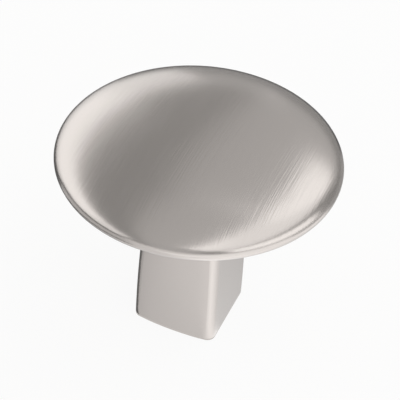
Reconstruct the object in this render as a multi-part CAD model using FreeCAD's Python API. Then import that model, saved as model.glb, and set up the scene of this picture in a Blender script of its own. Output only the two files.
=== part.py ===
import FreeCAD, Part
import math
import os

# Cabinet knob: a round domed head on a square stem, cast in one piece, with a blind tapped hole in its base.
# Millimetres. The origin is the middle of the base, which seats on the door, and +Z runs out from the door to the
# crown of the head. The stem's flat sides face X and its bowed sides face Y.

# Head. Its face is the upper half of a flattened ellipsoid, so it is almost level at the crown and falls away ever
# faster to the rim.
HEAD_DIAMETER = 32.0
RIM_HEIGHT = 23.25               # base to the widest circle of the rim
CROWN_RISE = 3.95                # widest circle to the crown
RIM_LOWER_RADIUS = 1.05          # rounding from the widest circle to the underside
UNDERSIDE_FALL_ANGLE = 6.0       # degrees by which the underside drops towards the stem

# Stem. Its four sides draw in towards the neck along arcs that start square to the base.
STEM_WIDTH = 10.3                # across the flat sides, at the base
STEM_DEPTH = 10.6                # across the crests of the bowed sides, at the base
STEM_BOW_RADIUS = 31.5
STEM_CORNER_RADIUS = 1.0
STEM_SIDE_ARC_RADIUS = 255.0
NECK_FILLET_RADIUS = 2.0
BASE_EDGE_CHAMFER = 0.2

# Screw hole in the base, for an M4 machine screw. Its wall lies at the thread's major diameter.
HOLE_DIAMETER = 4.0
HOLE_DEPTH = 12.0                # mouth to the start of the drill point
HOLE_MOUTH_CHAMFER = 0.5
DRILL_POINT_ANGLE = 118.0

# The stem is drawn through this many sections, from the base to its top inside the head.
STEM_SECTION_COUNT = 4

SEAM_TOLERANCE = 0.01            # how near a corner must lie to a surface to count as on it

AXIS = FreeCAD.Vector(0, 0, 1)
AXIS_FOOT = FreeCAD.Vector(0, 0, 0)


def half_section_point(radius, height):
    return FreeCAD.Vector(radius, 0, height)


def revolve_half_section(edges):
    face = Part.Face(Part.Wire(edges))
    return face.revolve(AXIS_FOOT, AXIS, 360)


def head():
    """The domed disc, closed by a shallow cone beneath it."""
    rim_radius = HEAD_DIAMETER / 2
    crown = half_section_point(0, RIM_HEIGHT + CROWN_RISE)
    rim = half_section_point(rim_radius, RIM_HEIGHT)

    dome = Part.Ellipse(rim, crown, half_section_point(0, RIM_HEIGHT))
    dome_edge = Part.ArcOfEllipse(dome, 0, math.pi / 2).toBSpline().toShape()

    rounding_centre = half_section_point(rim_radius - RIM_LOWER_RADIUS, RIM_HEIGHT)

    def rounding_point(angle):
        return rounding_centre + half_section_point(
            RIM_LOWER_RADIUS * math.cos(angle), -RIM_LOWER_RADIUS * math.sin(angle))

    rounding_end_angle = math.pi / 2 - math.radians(UNDERSIDE_FALL_ANGLE)
    rounding_end = rounding_point(rounding_end_angle)
    rounding_edge = Part.Arc(rim, rounding_point(rounding_end_angle / 2), rounding_end).toShape()

    underside_centre = half_section_point(0, underside_height(0))
    return revolve_half_section([
        dome_edge,
        rounding_edge,
        Part.makeLine(rounding_end, underside_centre),
        Part.makeLine(underside_centre, crown),
    ])


def underside_height(radius):
    """Height of the head's underside at this distance from the axis, inside the rim's rounding."""
    fall = math.radians(UNDERSIDE_FALL_ANGLE)
    rounding_centre_radius = HEAD_DIAMETER / 2 - RIM_LOWER_RADIUS
    cone_foot = RIM_HEIGHT - RIM_LOWER_RADIUS / math.cos(fall)
    return cone_foot - (rounding_centre_radius - radius) * math.tan(fall)


def stem_section(height):
    """The stem's outline at this height: flat sides towards X, bowed sides towards Y, rounded corners."""
    draw = STEM_SIDE_ARC_RADIUS - math.sqrt(STEM_SIDE_ARC_RADIUS ** 2 - height ** 2)
    half_width = STEM_WIDTH / 2 - draw
    half_depth = STEM_DEPTH / 2 - draw
    bow_centre = FreeCAD.Vector(0, half_depth - STEM_BOW_RADIUS, height)

    corner_reach = STEM_BOW_RADIUS - STEM_CORNER_RADIUS
    corner_x = half_width - STEM_CORNER_RADIUS
    corner_y = bow_centre.y + math.sqrt(corner_reach ** 2 - corner_x ** 2)
    corner_centre = FreeCAD.Vector(corner_x, corner_y, height)

    flat_end = FreeCAD.Vector(half_width, corner_y, height)
    bow_end = bow_centre + (corner_centre - bow_centre) * (STEM_BOW_RADIUS / corner_reach)
    towards_middle = flat_end + bow_end - corner_centre * 2
    corner_middle = corner_centre + towards_middle * (STEM_CORNER_RADIUS / towards_middle.Length)
    bow_crest = FreeCAD.Vector(0, half_depth, height)

    def placed(point, x_sign, y_sign):
        return FreeCAD.Vector(point.x * x_sign, point.y * y_sign, point.z)

    edges = []
    for side in (1, -1):
        edges += [
            Part.makeLine(placed(flat_end, side, -side), placed(flat_end, side, side)),
            Part.Arc(placed(flat_end, side, side), placed(corner_middle, side, side),
                     placed(bow_end, side, side)).toShape(),
            Part.Arc(placed(bow_end, side, side), placed(bow_crest, side, side),
                     placed(bow_end, -side, side)).toShape(),
            Part.Arc(placed(bow_end, -side, side), placed(corner_middle, -side, side),
                     placed(flat_end, -side, side)).toShape(),
        ]
    return Part.Wire(edges)


def stem():
    """The square stem, from the base up into the head, with its base edge broken."""
    heights = [RIM_HEIGHT * step / (STEM_SECTION_COUNT - 1) for step in range(STEM_SECTION_COUNT)]
    prism = Part.makeLoft([stem_section(height) for height in heights], True, False)
    base_edges = [edge for edge in prism.Edges if edge.BoundBox.ZMax < BASE_EDGE_CHAMFER]
    return prism.makeChamfer(BASE_EDGE_CHAMFER, base_edges)


def screw_hole():
    """The space of the blind hole: a chamfered mouth, the threaded length and the drill's point."""
    radius = HOLE_DIAMETER / 2
    point_depth = radius / math.tan(math.radians(DRILL_POINT_ANGLE / 2))
    outline = [
        half_section_point(0, 0),
        half_section_point(radius + HOLE_MOUTH_CHAMFER, 0),
        half_section_point(radius, HOLE_MOUTH_CHAMFER),
        half_section_point(radius, HOLE_DEPTH),
        half_section_point(0, HOLE_DEPTH + point_depth),
        half_section_point(0, 0),
    ]
    return revolve_half_section(Part.makePolygon(outline).Edges)


def neck_edges(casting):
    """The edges where the stem runs into the head's underside."""
    stem_reach = math.hypot(STEM_WIDTH, STEM_DEPTH) / 2
    found = []
    for edge in casting.Edges:
        ends = [(math.hypot(vertex.X, vertex.Y), vertex.Z) for vertex in edge.Vertexes]
        if all(radius < stem_reach and abs(height - underside_height(radius)) < SEAM_TOLERANCE
               for radius, height in ends):
            found.append(edge)
    return found


def knob():
    casting = head().fuse(stem())
    casting = casting.makeFillet(NECK_FILLET_RADIUS, neck_edges(casting))
    return casting.cut(screw_hole())


os.makedirs("parts", exist_ok=True)
knob().exportStep("parts/knob.step")
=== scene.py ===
import math

import bmesh
import bpy
from mathutils import Matrix, Vector


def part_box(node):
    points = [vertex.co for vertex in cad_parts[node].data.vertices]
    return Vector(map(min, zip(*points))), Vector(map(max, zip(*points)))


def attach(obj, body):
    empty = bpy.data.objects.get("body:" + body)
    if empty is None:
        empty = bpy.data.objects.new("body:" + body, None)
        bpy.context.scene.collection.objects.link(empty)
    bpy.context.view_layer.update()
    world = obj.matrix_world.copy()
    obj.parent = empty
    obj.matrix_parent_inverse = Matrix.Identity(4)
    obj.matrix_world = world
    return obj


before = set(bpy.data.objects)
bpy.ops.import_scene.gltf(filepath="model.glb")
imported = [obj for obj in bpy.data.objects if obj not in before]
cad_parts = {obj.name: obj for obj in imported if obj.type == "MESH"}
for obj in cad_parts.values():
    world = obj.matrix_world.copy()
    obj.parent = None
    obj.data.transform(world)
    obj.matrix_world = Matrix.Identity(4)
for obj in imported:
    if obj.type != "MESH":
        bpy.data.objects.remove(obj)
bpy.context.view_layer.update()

# A cabinet knob in satin nickel: a round domed head on a square stem. Metres, in the frame of the CAD solid,
# with the base at z = 0 and the head's crown at the top. The solid gives every shape but the screw thread.

MM = 0.001

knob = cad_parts["knob"]
base_corner, crown_corner = (Vector(corner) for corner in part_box("knob"))
KNOB_HEIGHT = crown_corner.z - base_corner.z
RIM_DROP = 3.95 * MM                   # crown down to the head's widest circle
RIM_HEIGHT = KNOB_HEIGHT - RIM_DROP

# Screw thread, M4 x 0.7, cut into the wall of the blind hole.
THREAD_RADIUS = 2.0 * MM
THREAD_PITCH = 0.7 * MM
THREAD_DEPTH = 0.38 * MM
THREAD_CREST_WIDTH = 0.09 * MM
THREAD_ROOT_WIDTH = 0.6 * MM
THREAD_START = 0.6 * MM                # above the mouth's chamfer
THREAD_END = 11.4 * MM                 # short of the drill's point
THREAD_STEPS_PER_TURN = 40
THREAD_WALL_BITE = 0.02 * MM           # how far its root lies inside the wall, so that no gap shows
TAPPED_ROUGHNESS = 0.4

# Brushing and plating.
SATIN_NICKEL = "#C6C0BC"
SATIN_ROUGHNESS = 0.25
BRUSH_ROUGHNESS_SPREAD = 0.02          # either way, from line to line
BRUSH_LINE_WIDTH = 0.11 * MM           # real lines are about 0.03 mm wide, too fine to show
BRUSH_LINE_LENGTH = 5.0 * MM
BRUSH_LINE_DEPTH = 0.008 * MM          # where the belt bit deepest, towards +X
BRUSH_LIGHT_SHARE = 0.42               # of that depth where it only skimmed, towards -X
BRUSH_DEEP_FROM = 3 * MM               # place along X where the bite starts to deepen
BRUSH_DEEP_TO = 10 * MM                # and where it is deepest
BRUSH_FADES_FROM = 1.6 * MM            # above the widest circle: the belt doesn't reach round the rim
BRUSH_FADES_TO = 0.2 * MM
NOISE_LOW = 0.3                        # nearly all of the noise lies between these
NOISE_HIGH = 0.7

# Studio. Directions are seen from the knob: the azimuth is 0 straight behind it, as the camera looks, and
# grows to the right. Azimuths, elevations and turns are in degrees.
WHITE = "#FFFFFF"
CAMERA_PLACE = Vector((39.64, -103.34, 115.61)) * MM
CAMERA_TARGET = Vector((1.493, -2.738, 19.526)) * MM
CAMERA_ROLL = math.radians(4.296)
CAMERA_LENS = 117.5                    # this and the sensor are in mm, as Blender takes them
SENSOR_WIDTH = 36.0
NEAREST_SEEN = 0.01
FARTHEST_SEEN = 20.0

FLOOR_SIZE = 6.0
FLOOR_WHITE = "#F4F3F1"
FLOOR_GLOW = 0.90                      # how much of the floor's white is its own, and not the lamps'
STUDIO_GREY = "#A1A1A0"
# Sheets on the floor that only reflections show: painted shade on the floor that the metal reflects.
SHADE_SHEETS = {
    # name: (azimuths of its two sides, near radius, far radius, colour), in the order of laying
    "grey_shade_left": (-140, -75, 25 * MM, 130 * MM, "#EAEAEA"),
    "grey_shade_back": (-15, 80, 40 * MM, 2500 * MM, "#BEBEBE"),
    "grey_shade_right": (80, 112, 80 * MM, 300 * MM, "#D8D8D8"),
    "black_strip": (-133, -70, 130 * MM, 2500 * MM, "#6A6A6A"),
    "black_shade": (-75, 40, 30 * MM, 150 * MM, "#6A6A6A"),
    "black_ribbon": (-140, -75, 27 * MM, 41 * MM, "#6A6A6A"),
}
SHADE_SHEET_THICKNESS = 0.05 * MM
SHADE_SHEET_SECTOR = 5                       # degrees between the corners of its rounded edges

# A glowing card under the knob that only reflections show: painted shade across the stem and a painted
# highlight down its near corner.
GRADED_CARD_RADIUS = 30 * MM
GRADED_CARD_CORNERS = 72
GRADED_CARD_LIFT = 0.4 * MM            # above the floor and the sheets of painted shade
CARD_DARK_SIDE = -33                   # azimuth of its dark side
CARD_SHADES = [
    # (distance from the axis towards the dark side, brightness there)
    (-20 * MM, 1.00),
    (-8 * MM, 0.97),
    (-1 * MM, 0.83),
    (0.5 * MM, 0.76),
    (4 * MM, 0.62),
    (20 * MM, 0.60),
]
# Painted highlight down the stem's near corner: the card grows brighter around a foot inside that corner.
CORNER_FOOT_RIGHT = 3.0 * MM           # from the axis to a foot inside the stem's near corner
CORNER_FOOT_FRONT = 4.4 * MM
CORNER_MIDDLE = 170                    # azimuth in which that corner points, seen from the foot
CORNER_SHADES = [
    # (degrees from the middle to the right, how much brighter the card is there)
    (-180, 1.00),
    (-44, 1.00),
    (-20, 1.36),
    (-10, 1.46),
    (5, 1.46),
    (40, 1.28),
    (62, 1.13),
    (110, 0.93),
    (165, 0.93),
    (180, 1.00),
]

# A small dark card that glows faintly and that only reflections show: painted shade, the dark line down the
# stem's left corner.
DARK_CARD_AZIMUTH = -75.1
DARK_CARD_DISTANCE = 15.2 * MM         # from the axis to its middle
DARK_CARD_LENGTH = 24 * MM
DARK_CARD_WIDTH = 12 * MM
DARK_CARD_TURN = 8.4                   # its long side's, from straight away from the axis
DARK_CARD_LIFT = 0.45 * MM             # just above the graded card
DARK_CARD_BRIGHTNESS = 0.17

SOFTBOX_DISTANCE = 0.6                 # from the middle of the head
SOFTBOXES = {
    # name: (azimuth, elevation, width, height, brightness of its face, where 1 renders white)
    "left_softbox": (-68, 19, 2.50, 0.42, 0.87),
    "left_softbox_core": (-61, 26, 1.11, 0.42, 0.27),
    "right_softbox": (120, 16, 0.83, 0.28, 1.24),
    "overhead_softbox": (107, 55, 1.68, 0.39, 0.91),
    "front_fill": (193, 56, 0.53, 1.98, 0.28),
    "back_fill": (34, 40, 0.54, 0.68, 0.27),
    "rim_light": (7, 12, 0.14, 0.14, 0.23),
}

TABLE_PANEL_AZIMUTH = 140
TABLE_PANEL_DISTANCE = 98 * MM         # from the axis to its middle
TABLE_PANEL_WIDTH = 120 * MM
TABLE_PANEL_DEPTH = 140 * MM
TABLE_PANEL_LIFT = 0.5 * MM            # above all that lies on the floor
TABLE_PANEL_BRIGHTNESS = 0.40


def linear_colour(hex_colour):
    """An sRGB hex colour as linear red, green, blue and alpha."""
    channels = [int(hex_colour[start:start + 2], 16) / 255 for start in (1, 3, 5)]
    return [c / 12.92 if c <= 0.04045 else ((c + 0.055) / 1.055) ** 2.4 for c in channels] + [1.0]


def add_node(tree, kind, settings=None, links=None):
    """Adds a node. Each link gives an input, named or numbered, an output socket or a plain value."""
    node = tree.nodes.new(kind)
    for name, value in (settings or {}).items():
        setattr(node, name, value)
    for socket, source in (links or {}).items():
        if isinstance(source, bpy.types.NodeSocket):
            tree.links.new(source, node.inputs[socket])
        else:
            node.inputs[socket].default_value = source
    return node


def new_material(name):
    material = bpy.data.materials.new(name)
    material.use_nodes = True
    material.node_tree.nodes.clear()
    return material, material.node_tree


def placed_mesh(name, mesh):
    """An object of its own, in the scene, from a finished mesh."""
    data = bpy.data.meshes.new(name)
    mesh.to_mesh(data)
    mesh.free()
    made = bpy.data.objects.new(name, data)
    bpy.context.scene.collection.objects.link(made)
    return made


def satin_nickel():
    """Nickel plate over zinc that was brushed along Y on a belt: the lines show as fine streaks where light
    and dark reflections meet. The stem is too small for the belt, so it was tumbled smooth, with no lines."""
    material, tree = new_material("satin_nickel")
    place = add_node(tree, "ShaderNodeTexCoord").outputs["Object"]
    side, _, height = add_node(tree, "ShaderNodeSeparateXYZ", {}, {0: place}).outputs
    on_head = add_node(tree, "ShaderNodeMapRange", {}, {
        "Value": height, "From Min": RIM_HEIGHT + BRUSH_FADES_TO,
        "From Max": RIM_HEIGHT + BRUSH_FADES_FROM}).outputs[0]

    across = 1 / BRUSH_LINE_WIDTH
    along = 1 / BRUSH_LINE_LENGTH
    stretched = add_node(tree, "ShaderNodeVectorMath", {"operation": "MULTIPLY"}, {
        0: place, 1: (across, along, along)}).outputs[0]
    lines = add_node(tree, "ShaderNodeTexNoise", {}, {
        "Vector": stretched, "Scale": 1.0, "Detail": 0.0}).outputs["Fac"]
    bite = add_node(tree, "ShaderNodeMapRange", {"interpolation_type": "SMOOTHSTEP"}, {
        "Value": side, "From Min": BRUSH_DEEP_FROM, "From Max": BRUSH_DEEP_TO,
        "To Min": BRUSH_LIGHT_SHARE, "To Max": 1.0}).outputs[0]
    strength = add_node(tree, "ShaderNodeMath", {"operation": "MULTIPLY"}, {
        0: on_head, 1: bite}).outputs[0]
    bump = add_node(tree, "ShaderNodeBump", {}, {
        "Strength": strength, "Distance": BRUSH_LINE_DEPTH, "Height": lines}).outputs["Normal"]
    brushed = add_node(tree, "ShaderNodeMapRange", {}, {
        "Value": lines, "From Min": NOISE_LOW, "From Max": NOISE_HIGH,
        "To Min": SATIN_ROUGHNESS - BRUSH_ROUGHNESS_SPREAD,
        "To Max": SATIN_ROUGHNESS + BRUSH_ROUGHNESS_SPREAD}).outputs[0]
    satin = add_node(tree, "ShaderNodeMix", {"data_type": "FLOAT"}, {
        0: on_head, 2: SATIN_ROUGHNESS, 3: brushed}).outputs[0]

    nickel = add_node(tree, "ShaderNodeBsdfPrincipled", {}, {
        "Base Color": linear_colour(SATIN_NICKEL), "Metallic": 1.0, "Roughness": satin, "Normal": bump})
    add_node(tree, "ShaderNodeOutputMaterial", {}, {"Surface": nickel.outputs[0]})
    return material


def tapped_zinc():
    """Zinc as the tap cut it: the flanks are rougher than the plated stem, so they shine more softly."""
    material, tree = new_material("tapped_zinc")
    zinc = add_node(tree, "ShaderNodeBsdfPrincipled", {}, {
        "Base Color": linear_colour(SATIN_NICKEL), "Metallic": 1.0, "Roughness": TAPPED_ROUGHNESS})
    add_node(tree, "ShaderNodeOutputMaterial", {}, {"Surface": zinc.outputs[0]})
    return material


def plated_knob():
    """The casting keeps its mesh and takes the plated finish in place of its plain one."""
    plain = knob.material_slots[0].material
    knob.material_slots[0].material = satin_nickel()
    bpy.data.materials.remove(plain)
    knob.material_slots[0].material.name = "satin_nickel"


def screw_thread():
    """The helical ridge of the thread, standing in from the hole's wall."""
    profile = [
        (THREAD_RADIUS + THREAD_WALL_BITE, -THREAD_ROOT_WIDTH / 2),
        (THREAD_RADIUS - THREAD_DEPTH, -THREAD_CREST_WIDTH / 2),
        (THREAD_RADIUS - THREAD_DEPTH, THREAD_CREST_WIDTH / 2),
        (THREAD_RADIUS + THREAD_WALL_BITE, THREAD_ROOT_WIDTH / 2),
    ]
    turns = (THREAD_END - THREAD_START) / THREAD_PITCH
    steps = round(turns * THREAD_STEPS_PER_TURN)
    mesh = bmesh.new()
    rings = []
    for step in range(steps + 1):
        angle = 2 * math.pi * step / THREAD_STEPS_PER_TURN
        middle = THREAD_START + THREAD_PITCH * step / THREAD_STEPS_PER_TURN
        rings.append([
            mesh.verts.new((radius * math.cos(angle), radius * math.sin(angle), middle + rise))
            for radius, rise in profile
        ])
    for ring, next_ring in zip(rings, rings[1:]):
        for corner in range(len(profile)):
            following = (corner + 1) % len(profile)
            mesh.faces.new((ring[corner], ring[following], next_ring[following], next_ring[corner]))
    mesh.faces.new(reversed(rings[0]))
    mesh.faces.new(rings[-1])
    bmesh.ops.recalc_face_normals(mesh, faces=mesh.faces)
    thread = placed_mesh("screw_thread", mesh)
    thread.data.materials.append(tapped_zinc())
    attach(thread, "root")


def direction(azimuth, elevation):
    """A unit vector from the knob. Azimuth 0 is straight behind it, as the camera looks."""
    away = (CAMERA_TARGET - CAMERA_PLACE).to_2d().normalized()
    behind = Vector((away.x, away.y, 0))
    right = Vector((away.y, -away.x, 0))
    turn = math.radians(azimuth)
    lift = math.radians(elevation)
    level = behind * math.cos(turn) + right * math.sin(turn)
    return level * math.cos(lift) + Vector((0, 0, math.sin(lift)))


def above_floor(azimuth, distance, lift):
    """The point at this distance from the knob's axis and this height above the floor."""
    return direction(azimuth, 0) * distance + Vector((0, 0, lift))


def studio_floor():
    """A sweep of matt white paper. It glows a little, so that it stays white around a soft shadow."""
    bpy.ops.mesh.primitive_plane_add(size=FLOOR_SIZE, location=(0, 0, 0))
    floor = bpy.context.object
    floor.name = "studio_floor"
    material, tree = new_material("white_sweep")
    paper = add_node(tree, "ShaderNodeBsdfDiffuse", {}, {"Color": linear_colour(FLOOR_WHITE)}).outputs[0]
    glow = add_node(tree, "ShaderNodeEmission", {}, {
        "Color": linear_colour(WHITE), "Strength": 1.0}).outputs[0]
    rays = add_node(tree, "ShaderNodeLightPath").outputs
    seen = add_node(tree, "ShaderNodeMath", {"operation": "MAXIMUM"}, {
        0: rays["Is Camera Ray"], 1: rays["Is Glossy Ray"]}).outputs[0]
    seen = add_node(tree, "ShaderNodeMath", {"operation": "MAXIMUM"}, {
        0: seen, 1: rays["Is Transmission Ray"]}).outputs[0]
    share = add_node(tree, "ShaderNodeMath", {"operation": "MULTIPLY"}, {0: seen, 1: FLOOR_GLOW}).outputs[0]
    mixed = add_node(tree, "ShaderNodeMixShader", {}, {0: share, 1: paper, 2: glow}).outputs[0]
    add_node(tree, "ShaderNodeOutputMaterial", {}, {"Surface": mixed})
    floor.data.materials.append(material)


def show_in_reflections_only(card):
    """The camera doesn't see the card. It lights nothing matt and casts no shadow."""
    card.visible_camera = False
    card.visible_diffuse = False
    card.visible_shadow = False


def shade_sheets():
    """Grey and dark sheets, quite matt, laid on the floor around the knob. Only reflections show them:
    painted shade, which draws the thin dark lines along the rim and greys the floor that the rim shows."""
    for layer, (name, sheet) in enumerate(SHADE_SHEETS.items(), 1):
        first_side, last_side, near_radius, far_radius, colour = sheet
        steps = round((last_side - first_side) / SHADE_SHEET_SECTOR)
        lift = SHADE_SHEET_THICKNESS * layer
        mesh = bmesh.new()
        near = []
        far = []
        for step in range(steps + 1):
            azimuth = first_side + (last_side - first_side) * step / steps
            near.append(mesh.verts.new(above_floor(azimuth, near_radius, lift)))
            far.append(mesh.verts.new(above_floor(azimuth, far_radius, lift)))
        for step in range(steps):
            mesh.faces.new((near[step], far[step], far[step + 1], near[step + 1]))
        laid = placed_mesh(name, mesh)
        material, tree = new_material(name + "_felt")
        painted_shade = add_node(tree, "ShaderNodeBsdfDiffuse", {}, {"Color": linear_colour(colour)}).outputs[0]
        add_node(tree, "ShaderNodeOutputMaterial", {}, {"Surface": painted_shade})
        laid.data.materials.append(material)
        show_in_reflections_only(laid)


def shades(tree, value, stops):
    """Brightness that follows a value through a list of stops."""
    first, last = stops[0][0], stops[-1][0]
    brightest = max(shade for _, shade in stops)
    along = add_node(tree, "ShaderNodeMapRange", {}, {
        "Value": value, "From Min": first, "From Max": last}).outputs[0]
    ramp = add_node(tree, "ShaderNodeValToRGB", {}, {"Fac": along})
    marks = ramp.color_ramp.elements
    for place, _ in stops[1:-1]:
        marks.new((place - first) / (last - first))
    for mark, (_, shade) in zip(marks, stops):
        share = shade / brightest
        mark.color = (share, share, share, 1)
    return add_node(tree, "ShaderNodeMath", {"operation": "MULTIPLY"}, {
        0: ramp.outputs["Color"], 1: brightest}).outputs[0]


def graded_card():
    """A card under the knob that glows, though it is no lamp, and that only reflections show. It paints soft
    shade across the stem from one side to the other, and is brightest where the stem's near corner points,
    which paints the soft highlight down that corner."""
    bpy.ops.mesh.primitive_circle_add(
        vertices=GRADED_CARD_CORNERS, radius=GRADED_CARD_RADIUS, fill_type="NGON",
        location=(0, 0, GRADED_CARD_LIFT))
    card = bpy.context.object
    card.name = "graded_card"
    material, tree = new_material("painted_shade_and_highlight")
    place = add_node(tree, "ShaderNodeTexCoord").outputs["Object"]

    def distance_towards(azimuth, point):
        return add_node(tree, "ShaderNodeVectorMath", {"operation": "DOT_PRODUCT"}, {
            0: point, 1: direction(azimuth, 0)}).outputs["Value"]

    across = shades(tree, distance_towards(CARD_DARK_SIDE, place), CARD_SHADES)
    foot = direction(90, 0) * CORNER_FOOT_RIGHT + direction(180, 0) * CORNER_FOOT_FRONT
    from_foot = add_node(tree, "ShaderNodeVectorMath", {"operation": "SUBTRACT"}, {
        0: place, 1: foot}).outputs[0]
    angle = add_node(tree, "ShaderNodeMath", {"operation": "ARCTAN2"}, {
        0: distance_towards(CORNER_MIDDLE - 90, from_foot),
        1: distance_towards(CORNER_MIDDLE, from_foot)}).outputs[0]
    degrees = add_node(tree, "ShaderNodeMath", {"operation": "DEGREES"}, {0: angle}).outputs[0]
    around = shades(tree, degrees, CORNER_SHADES)
    strength = add_node(tree, "ShaderNodeMath", {"operation": "MULTIPLY"}, {
        0: across, 1: around}).outputs[0]
    glow = add_node(tree, "ShaderNodeEmission", {}, {
        "Color": linear_colour(WHITE), "Strength": strength}).outputs[0]
    add_node(tree, "ShaderNodeOutputMaterial", {}, {"Surface": glow})
    card.data.materials.append(material)
    show_in_reflections_only(card)


def dark_card():
    """A small dark card that glows faintly and that only reflections show: painted shade. Its long side
    starts at the stem's left corner and draws the dark line down it.
    """
    place = above_floor(DARK_CARD_AZIMUTH, DARK_CARD_DISTANCE, DARK_CARD_LIFT)
    bpy.ops.mesh.primitive_plane_add(size=1.0, location=place)
    card = bpy.context.object
    card.name = "dark_card"
    card.scale = (DARK_CARD_LENGTH, DARK_CARD_WIDTH, 1)
    card.rotation_euler = (0, 0, math.atan2(place.y, place.x) + math.radians(DARK_CARD_TURN))
    material, tree = new_material("painted_shade_card")
    glow = add_node(tree, "ShaderNodeEmission", {}, {
        "Color": linear_colour(WHITE), "Strength": DARK_CARD_BRIGHTNESS}).outputs[0]
    add_node(tree, "ShaderNodeOutputMaterial", {}, {"Surface": glow})
    card.data.materials.append(material)
    show_in_reflections_only(card)


def studio_room():
    """Even grey from all round, as a plain room gives."""
    world = bpy.data.worlds.new("studio_room")
    world.use_nodes = True
    world.node_tree.nodes.clear()
    room = add_node(world.node_tree, "ShaderNodeBackground", {}, {
        "Color": linear_colour(STUDIO_GREY), "Strength": 1.0})
    add_node(world.node_tree, "ShaderNodeOutputWorld", {}, {"Surface": room.outputs[0]})
    bpy.context.scene.world = world


def light_panel(name, width, height, brightness):
    """An even lit face. Its power is what makes a mirror show it at this brightness, whatever its size."""
    data = bpy.data.lights.new(name, "AREA")
    data.shape = "RECTANGLE"
    data.size = width
    data.size_y = height
    data.energy = brightness * math.pi * width * height
    panel = bpy.data.objects.new(name, data)
    panel.visible_camera = False
    bpy.context.scene.collection.objects.link(panel)
    return panel


def softboxes():
    """Large soft lamps around the knob, each facing the middle of the head."""
    for name, (azimuth, elevation, width, height, brightness) in SOFTBOXES.items():
        box = light_panel(name, width, height, brightness)
        towards = direction(azimuth, elevation)
        box.location = towards * SOFTBOX_DISTANCE + Vector((0, 0, RIM_HEIGHT))
        box.rotation_euler = (-towards).to_track_quat("-Z", "Y").to_euler()


def table_panel():
    """A small lit panel that lies face up, in front of the knob and to its right, and brightens what faces
    down."""
    panel = light_panel("table_panel", TABLE_PANEL_WIDTH, TABLE_PANEL_DEPTH, TABLE_PANEL_BRIGHTNESS)
    place = above_floor(TABLE_PANEL_AZIMUTH, TABLE_PANEL_DISTANCE, TABLE_PANEL_LIFT)
    panel.location = place
    panel.rotation_euler = (math.pi, 0, math.atan2(place.y, place.x) + math.pi / 2)


def camera():
    """Placed and rolled so that the head's outline and the stem's edges lie where the photo has them."""
    data = bpy.data.cameras.new("camera")
    data.lens = CAMERA_LENS
    data.sensor_width = SENSOR_WIDTH
    data.clip_start = NEAREST_SEEN
    data.clip_end = FARTHEST_SEEN
    seat = bpy.data.objects.new("camera", data)
    look = (CAMERA_TARGET - CAMERA_PLACE).normalized()
    level = look.cross(Vector((0, 0, 1))).normalized()
    up = level.cross(look)
    rolled_right = level * math.cos(CAMERA_ROLL) + up * math.sin(CAMERA_ROLL)
    rolled_up = rolled_right.cross(look)
    axes = Matrix((rolled_right, rolled_up, -look)).transposed()
    seat.matrix_world = Matrix.Translation(CAMERA_PLACE) @ axes.to_4x4()
    bpy.context.scene.collection.objects.link(seat)
    bpy.context.scene.camera = seat


plated_knob()
screw_thread()
studio_floor()
shade_sheets()
graded_card()
dark_card()
studio_room()
softboxes()
table_panel()
camera()
bpy.context.scene.view_settings.view_transform = "Standard"
